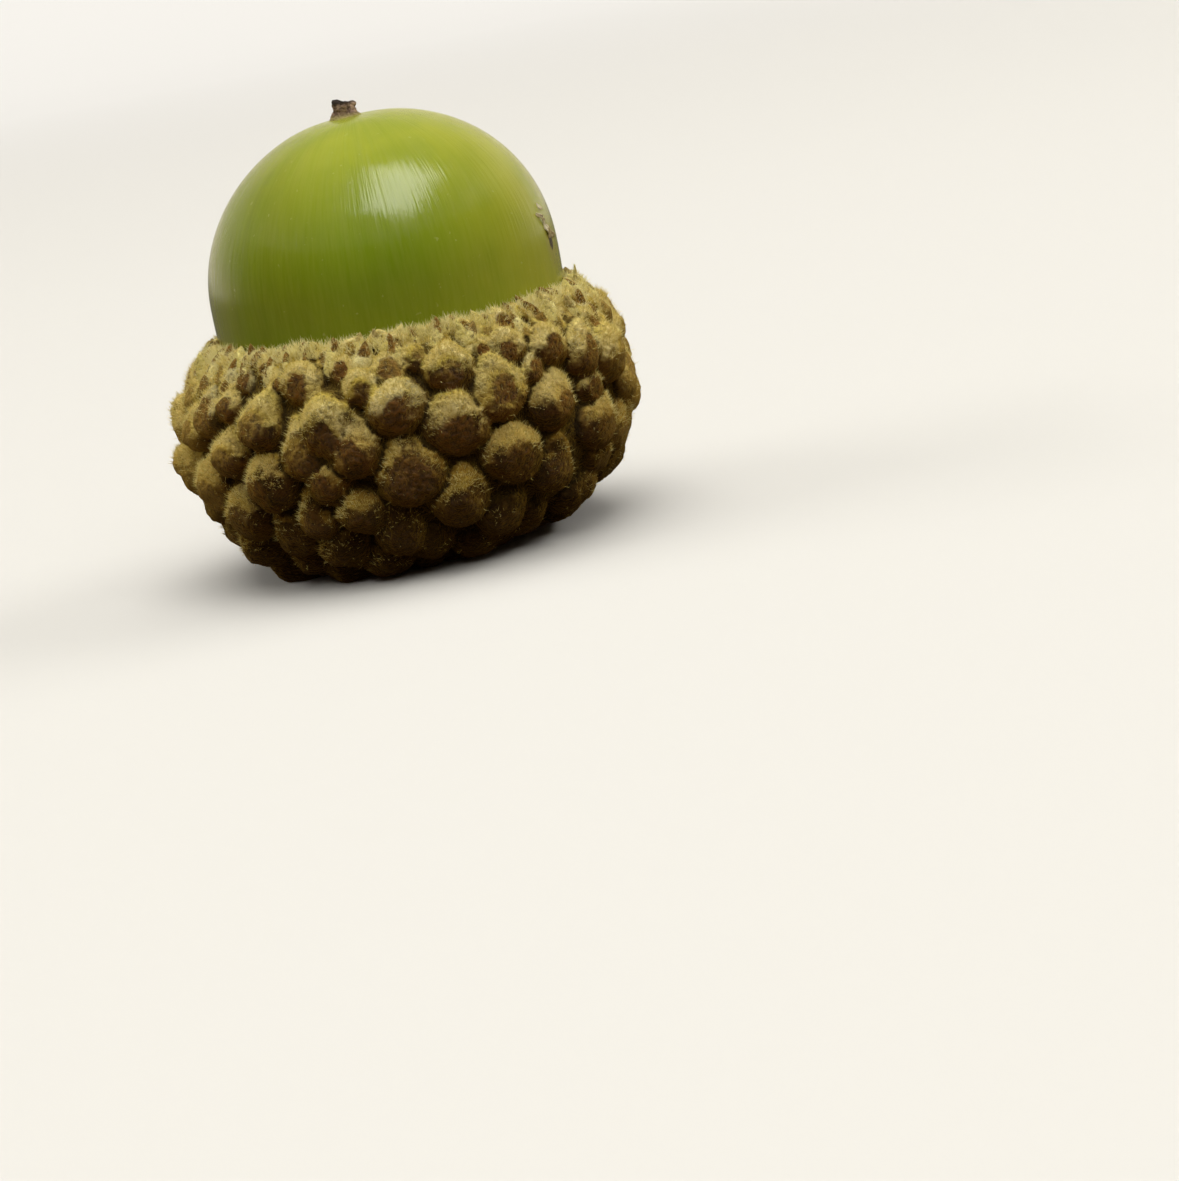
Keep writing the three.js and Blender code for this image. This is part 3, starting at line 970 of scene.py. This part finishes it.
def flake_finish(grain):
    """Dry straw-coloured skin, mottled with a darker tan."""
    f = Finish("dry_flake")
    g = f.group(grain, **{"Place": f.place(), "Mottle size": 0.0004, "Grit size": 0.0001})
    body = f.blend(g.outputs["Mottle"], paint("f0e8c4"), paint("c4b27c"))
    f.set(Base_Color=body, Roughness=0.8, Normal=f.bump(g.outputs["Grit"], 0.00004, 0.8))
    return f.material


def cup_finish(grain):
    """Olive-buff felt on the knobs and dark brown where a scale's tip is bare. Painted shade: near black in
    the creases and on the undersides, which are partly bare brown, and darker towards the bottom. Painted
    light: paler felt at the far left and right.
    """
    f = Finish("cup_felt")
    place = f.place()
    g = f.group(grain, **{"Place": place, "Mottle size": 0.0011, "Grit size": 0.00022})
    mottle, grit = g.outputs["Mottle"], g.outputs["Grit"]
    shade, patch, crease = f.attribute("shade"), f.attribute("patch"), f.attribute("crease")
    normal = f.add("ShaderNodeSeparateXYZ")
    f.feed(normal.inputs[0], f.add("ShaderNodeNewGeometry").outputs["Normal"])
    uneven = f.maths("MULTIPLY", f.maths("SUBTRACT", mottle, 0.5), 0.6)
    facing_up = f.span(f.maths("ADD", normal.outputs["Z"], uneven), -0.22, 0.7)
    fringe = f.attribute("fringe")
    axes = f.add("ShaderNodeSeparateXYZ")
    f.feed(axes.inputs[0], place)
    lit_sides, z = f.maths("ABSOLUTE", axes.outputs["X"]), axes.outputs["Z"]
    felt = f.blend(shade, paint("d8c656"), paint("dfd182"))
    # Browner, darker felt towards the bottom: partly the felt's own browner tone low down, partly painted
    # shade.
    felt = f.blend(f.span(z, 0.0098, 0.005, 0, 0.75), felt, paint("a46e18"))
    felt = f.blend(f.span(shade, 0.95, 0.97, 0, 0.6), felt, paint("9aa084"))
    felt = f.blend(f.maths("MULTIPLY", mottle, 0.55), felt, paint("8c6612"))
    felt = f.blend(f.span(grit, 0.6, 0.95, 0, 0.35), felt, paint("ecd87a"))
    felt = f.blend(f.span(grit, 0.35, 0.05, 0, 0.6), felt, paint("3a2004"))
    # Downward faces: partly bare brown under the felt, partly painted shade, near black, where light from
    # above does not reach.
    under = f.blend(mottle, paint("1e0a01"), paint("522b04"))
    body = f.blend(facing_up, under, felt)
    brown = f.blend(grit, paint("2c1402"), paint("6e440e"))
    edge = f.maths("ADD", patch, f.maths("MULTIPLY", f.maths("SUBTRACT", mottle, 0.5), 0.5))
    inside = f.span(edge, 1.08, 0.8)
    body = f.blend(f.maths("MULTIPLY", inside, f.span(shade, 0.1, 0.6, 0.5, 0.97)), body, brown)
    frayed = f.maths("MULTIPLY", fringe, f.span(grit, 0.0, 0.7, 0.5, 1.0))
    frayed = f.maths("MULTIPLY", frayed, f.span(facing_up, 0.0, 0.7))
    # The fringe's felt is paler high up and darker lower down: partly its own tone, partly painted shade.
    fringe_felt = f.blend(f.span(z, 0.0095, 0.005), paint("f6eaac"), paint("dcbe5c"))
    body = f.blend(f.maths("MULTIPLY", frayed, 0.9), body, fringe_felt)
    # Painted shadow: the cup is painted darker, to near black, towards its bottom.
    body = f.blend(f.span(z, 0.0072, 0.002, 0, 0.7), body, paint("221004"))
    # Painted light: the felt is painted paler towards the far left and right, for light grazing the fuzzy
    # sides.
    body = f.blend(f.span(lit_sides, 0.0088, 0.0122, 0, 0.36), body, paint("ccac54"))
    # Painted shade: near black in the creases between the knobs, where shade falls.
    deep = f.maths("ADD", crease, f.maths("MULTIPLY", f.maths("SUBTRACT", mottle, 0.5), 0.3))
    body = f.blend(f.span(deep, 0.15, 0.9, 0, 0.95), body, paint("160900"))
    rough = f.span(inside, 0, 1, 0.92, 0.55)
    height = f.maths("ADD", grit, f.maths("MULTIPLY", mottle, 0.7))
    f.set(Base_Color=body, Roughness=rough, Normal=f.bump(height, 0.00014, 0.8))
    f.bloom("e8be48")
    return f.material


def rim_finish(grain):
    """Fuzzy buff scales with small brown points, and painted shade, near black, at their feet."""
    f = Finish("rim_scale_felt")
    place = f.place()
    g = f.group(grain, **{"Place": place, "Mottle size": 0.0008, "Grit size": 0.00018})
    mottle, grit = g.outputs["Mottle"], g.outputs["Grit"]
    shade, tip = f.attribute("shade"), f.attribute("toward_tip")
    felt = f.blend(shade, paint("ecdf7e"), paint("faf2b8"))
    felt = f.blend(f.maths("MULTIPLY", mottle, 0.45), felt, paint("a08834"))
    felt = f.blend(f.span(grit, 0.55, 0.95, 0, 0.5), felt, paint("f4e6a0"))
    felt = f.blend(f.span(grit, 0.3, 0.05, 0, 0.5), felt, paint("5a3c1a"))
    brown = f.blend(grit, paint("3e2208"), paint("8a6024"))
    pointed = f.maths("ADD", tip, f.maths("MULTIPLY", f.maths("SUBTRACT", mottle, 0.5), 0.5))
    body = f.blend(f.maths("MULTIPLY", f.span(pointed, 0.68, 0.82), f.span(shade, 0.2, 0.4)), felt, brown)
    # Painted shade: each scale is painted near black towards its foot, where it tucks under its neighbours.
    body = f.blend(f.span(tip, 0.3, 0.0, 0, 0.85), body, paint("20120a"))
    f.set(Base_Color=body, Roughness=0.92, Normal=f.bump(grit, 0.00012, 0.8))
    f.bloom("f0dc7c")
    return f.material


def hair_finish(name, light, dark):
    """Dry pale fibre, each hair a slightly different shade."""
    f = Finish(name)
    shade = f.attribute("shade")
    body = f.blend(shade, paint(dark), paint(light))
    body = f.blend(f.maths("MULTIPLY", f.noise(f.place(), 0.002), 0.4), body, paint(dark))
    f.set(Base_Color=body, Roughness=0.75)
    return f.material


def tip_finish(grain):
    """Dry grey brown, almost black on the broken edge, greenish at the foot."""
    f = Finish("withered_tip")
    place = f.place()
    g = f.group(grain, **{"Place": place, "Mottle size": 0.0005, "Grit size": 0.00012})
    mottle, grit = g.outputs["Mottle"], g.outputs["Grit"]
    axes = f.add("ShaderNodeSeparateXYZ")
    f.feed(axes.inputs[0], place)
    body = f.blend(mottle, paint("806655"), paint("b09478"))
    body = f.blend(f.span(grit, 0.5, 0.1, 0, 0.7), body, paint("3a2a1e"))
    low = (TIP_LOW.z - TIP_DIMPLE) * LIFE_SIZE
    body = f.blend(f.span(axes.outputs["Z"], low + 0.0003, low, 0, 0.8), body, paint("a39b52"))
    body = f.blend(f.span(axes.outputs["Z"], low + 0.0006, low + 0.0008, 0, 0.95), body, paint("1c120b"))
    f.set(Base_Color=body, Roughness=0.9, Normal=f.bump(grit, 0.00008, 0.8))
    return f.material


# ---------------------------------------------------------------- studio

AIM_HEIGHT = 0.0123  # of the point on the acorn's axis that the camera and the lamps are set out from
CAMERA_DISTANCE = 0.167  # from that point
CAMERA_LENS = 100.0
SENSOR_WIDTH = 36.0
CAMERA_RISE = math.radians(6.0)  # above the plane of the rim
ACORN_LEAN = math.radians(11.0)  # how far the acorn's axis leans to the left in the frame
AIM_RIGHT = -0.168  # that point from the frame's middle, in frame widths
AIM_UP = 0.239

# Each lamp: where it shines from, distance, sides, roll, and how brightly it lights a white card
LAMPS = {
    "window": ((0.25, -0.365, 0.9), 1.2, (0.85, 0.66), 0.72, 0.7),
    "front": ((0.15, -0.62, 0.77), 1.4, (1.2, 1.0), 0.0, 0.5),
    "overhead": ((0.0, 0.1, 0.99), 1.4, (1.4, 1.4), 0.0, 0.85),
    "left": ((-0.95, 0.1, 0.3), 1.4, (1.2, 1.0), 0.0, 1.7),
    "right": ((0.95, 0.1, 0.3), 1.4, (1.2, 1.0), 0.0, 2.0),
}
SKY_STRENGTH = 0.28
FAR_GLOW = 0.7  # how much the far floor lights up by itself


def camera():
    data = bpy.data.cameras.new("camera")
    data.lens = CAMERA_LENS
    data.sensor_width = SENSOR_WIDTH
    piece = bpy.data.objects.new("camera", data)
    bpy.context.scene.collection.objects.link(piece)
    target = Vector((0, 0, AIM_HEIGHT))
    toward = Vector((0, -math.cos(CAMERA_RISE), math.sin(CAMERA_RISE)))
    off_axis = Vector((AIM_RIGHT * SENSOR_WIDTH, AIM_UP * SENSOR_WIDTH, -CAMERA_LENS)).normalized()
    aim = (-toward).to_track_quat("-Z", "Y")
    roll = Matrix.Rotation(-ACORN_LEAN, 3, "Z")
    swing = off_axis.rotation_difference(Vector((0, 0, -1))).to_matrix()
    turned = aim.to_matrix() @ roll @ swing
    piece.matrix_world = Matrix.Translation(target + CAMERA_DISTANCE * toward) @ turned.to_4x4()
    data.clip_start = 0.001
    bpy.context.scene.camera = piece


def lamp(name, direction, distance, size, roll, brightness):
    """A soft lamp on the acorn. The window is what the gloss mirrors, and the others give the light."""
    data = bpy.data.lights.new(name, "AREA")
    data.shape = "RECTANGLE"
    data.size, data.size_y = size
    data.energy = brightness * (math.pi * distance) ** 2
    data.color = (1.0, 0.98, 0.94)
    piece = bpy.data.objects.new(name, data)
    bpy.context.scene.collection.objects.link(piece)
    away = Vector(direction).normalized()
    middle = Vector((0, 0, AIM_HEIGHT))
    turned = away.to_track_quat("Z", "Y").to_matrix() @ Matrix.Rotation(roll, 3, "Z")
    piece.matrix_world = Matrix.Translation(middle + distance * away) @ turned.to_4x4()
    piece.visible_glossy = name == "window"
    piece.visible_diffuse = name != "window"


def floor():
    """A seamless pale sweep: flat under the acorn, curving up to a low wall far away all round."""
    flat_radius, bend, wall = 0.9, 0.35, 0.35
    outline = [(0.05, 0.0), (0.3, 0.0), (flat_radius, 0.0)]
    for i in range(1, 9):
        angle = 0.5 * math.pi * i / 8
        outline.append((flat_radius + bend * math.sin(angle), bend * (1 - math.cos(angle))))
    outline.append((flat_radius + bend, bend + wall))
    sweep = turned_form("floor", outline, 96, lid=False)
    pick_up(sweep)
    bpy.ops.object.mode_set(mode="EDIT")
    bpy.ops.mesh.select_all(action="SELECT")
    bpy.ops.mesh.flip_normals()
    bpy.ops.object.mode_set(mode="OBJECT")
    bpy.ops.object.shade_smooth()
    f = Finish("pale_sweep")
    seen = f.add("ShaderNodeLightPath").outputs["Is Camera Ray"]
    glance = f.add("ShaderNodeLightPath").outputs["Is Glossy Ray"]
    axes = f.add("ShaderNodeSeparateXYZ")
    f.feed(axes.inputs[0], f.place())
    # What glossy rays see: painted shade, dark on the near half of the sweep and pale on the far half.
    mirrored = f.blend(f.span(axes.outputs["Y"], 0.0, 0.9), paint("4c4740"), paint("e8e2d2"))
    # Painted shade: light bouncing off the sweep takes a dark brown, much darker than the sweep shows the
    # camera, which deepens the shade on the acorn's underside.
    bounce = f.blend(glance, paint("5e5040"), mirrored)
    away = f.span(f.vector("LENGTH", f.place()), 0.2, 1.1)
    paper = f.blend(away, paint("cecdc9"), paint("858481"))
    f.set(Base_Color=f.blend(seen, bounce, paper), Roughness=0.95)
    far = f.maths("MULTIPLY", away, FAR_GLOW)
    f.feed(f.shader.inputs["Emission Color"], f.blend(seen, paint("000000"), paint("fffcf6")))
    f.feed(f.shader.inputs["Emission Strength"], far)
    f.shader.inputs["Specular IOR Level"].default_value = 0.0
    sweep.data.materials.append(f.material)


def daylight():
    world = bpy.data.worlds.new("studio")
    world.use_nodes = True
    world.node_tree.nodes["Background"].inputs["Color"].default_value = paint("fffaf0")
    world.node_tree.nodes["Background"].inputs["Strength"].default_value = SKY_STRENGTH
    bpy.context.scene.world = world
    bpy.context.scene.view_settings.view_transform = "Standard"


def main():
    camera()
    daylight()
    floor()
    for name, settings in LAMPS.items():
        lamp(name, *settings)
    rng = np.random.default_rng(SEED)
    grain = grain_group()
    seats = knob_seats()
    body = cup_body(seats)
    mark_knobs(body, seats)
    fibres = knob_felt(body, rng)
    whiskers = rim_felt(rng)
    scales = rim_scales()
    fuzz = scale_felt(scales, rng)
    nut = nut_form()
    tip = tip_form()
    cup = shrink_to_life(body, "cup_body", cup_finish(grain))
    shrink_to_life(scales, "rim_scales", rim_finish(grain))
    shrink_to_life(fuzz, "scale_felt", hair_finish("scale_fibre", "fffac8", "e4d888"))
    shrink_to_life(fibres, "knob_felt", hair_finish("knob_fibre", "fdf2aa", "d0bc5c"))
    shrink_to_life(whiskers, "rim_felt", hair_finish("rim_fibre", "fff8c4", "e0d484"))
    shrink_to_life(nut_scar(), "scar_flakes", flake_finish(grain))
    skin = shrink_to_life(nut, "nut_skin", nut_finish())
    stub = shrink_to_life(tip, "withered_tip", tip_finish(grain))
    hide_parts("cup")
    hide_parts("nut")
    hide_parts("style_tip")
    put_down()


main()
